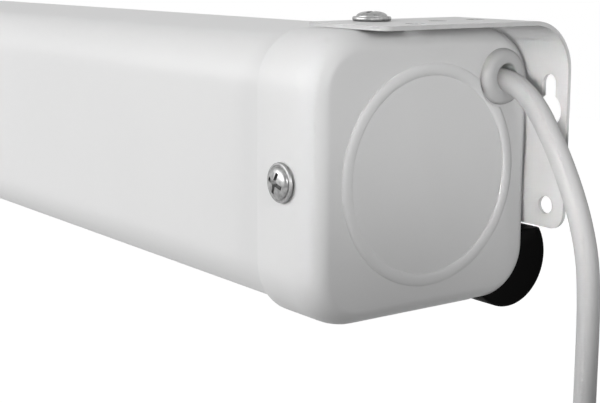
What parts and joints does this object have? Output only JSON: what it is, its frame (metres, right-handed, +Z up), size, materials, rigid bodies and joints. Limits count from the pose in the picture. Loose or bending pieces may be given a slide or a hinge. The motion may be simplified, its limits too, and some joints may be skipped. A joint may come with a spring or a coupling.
{
  "type": "motorised roller projection screen",
  "caption": "Motorised roller projection screen: square white case with end caps, wall brackets, tube motor, weighted bottom bar and a mains lead.",
  "frame": {"origin": "wall face of the right-hand bracket, on its centre line at the height of the case's middle", "axes": "+X to the right of someone facing the wall, along the case; +Y into the wall; +Z up"},
  "size_m": [1.6202, 0.0927, 0.2946],
  "materials": {
    "case_paint": "satin white powder coat",
    "cap_plastic": "satin white moulding",
    "bracket_paint": "satin white powder coat",
    "cast_plate": "as cast",
    "zinc_steel": "bright zinc plate",
    "motor_steel": "satin grey",
    "black_plastic": "satin black",
    "grey_plastic": "satin grey",
    "white_plastic": "satin white",
    "brass_trim": "bright",
    "cord_sheath": "satin white",
    "bar_aluminium": "white powder coat",
    "weight_steel": "mill finish",
    "screen_fabric": "matt white"
  },
  "bodies": {
    "root": {"case_shell": "case_paint", "end_cap_right": "cap_plastic", "end_plate_right": "cast_plate", "wall_bracket_right": "bracket_paint", "bracket_screw_right": "zinc_steel", "bracket_nut_right": "zinc_steel", "cap_screw_front_right": "zinc_steel", "cap_screw_rear_right": "zinc_steel", "end_cap_left": "cap_plastic", "end_plate_left": "cast_plate", "wall_bracket_left": "bracket_paint", "bracket_screw_left": "zinc_steel", "bracket_nut_left": "zinc_steel", "cap_screw_front_left": "zinc_steel", "cap_screw_rear_left": "zinc_steel", "motor_head": "black_plastic", "motor_body": "motor_steel", "motor_screw_upper": "zinc_steel", "motor_screw_lower": "zinc_steel", "idler_bush": "white_plastic", "receiver_box": "black_plastic", "motor_lead": "black_plastic", "inner_lead": "cord_sheath", "cord_grommet": "white_plastic", "cord_clamp": "white_plastic", "power_cord": "cord_sheath", "cord_coil": "cord_sheath", "cord_tie": "white_plastic", "plug_body": "cord_sheath", "plug_pin_right": "brass_trim", "plug_pin_left": "brass_trim", "plug_clip_rear": "brass_trim", "plug_clip_front": "brass_trim"},
    "roller": {"roller_tube": "zinc_steel", "wound_fabric": "screen_fabric", "motor_crown": "grey_plastic", "drive_shaft": "zinc_steel", "drive_wheel": "grey_plastic", "idler_plug": "grey_plastic", "idler_pin": "zinc_steel"},
    "bottom_bar": {"bottom_bar": "bar_aluminium", "bar_cap_right": "black_plastic", "bar_cap_left": "black_plastic", "bar_weight_rod": "weight_steel", "fabric_spline": "screen_fabric", "fabric_drop": "screen_fabric"},
    "down_limit": {"limit_screw_down": "brass_trim"},
    "up_limit": {"limit_screw_up": "brass_trim"}
  },
  "joints": [
    {"name": "roller_turn", "type": "hinge", "parent": "root", "child": "roller", "pos_m": [-0.75, -0.0465, 0.001], "axis": [-1, 0, 0], "range_deg": [0, 1960]},
    {"name": "bar_drop", "type": "slide", "parent": "root", "child": "bottom_bar", "axis": [0, 0, -1], "range_m": [0, 0.9], "deforming": ["fabric_drop"]},
    {"name": "down_limit_turn", "type": "hinge", "parent": "root", "child": "down_limit", "pos_m": [0, -0.037, -0.011], "axis": [1, 0, 0], "range_deg": [-1080, 1080]},
    {"name": "up_limit_turn", "type": "hinge", "parent": "root", "child": "up_limit", "pos_m": [0, -0.056, -0.011], "axis": [1, 0, 0], "range_deg": [-1080, 1080]}
  ],
  "couplings": [
    {"joint": "bar_drop", "follows": "roller_turn", "m_per_rad": 0.0263}
  ]
}
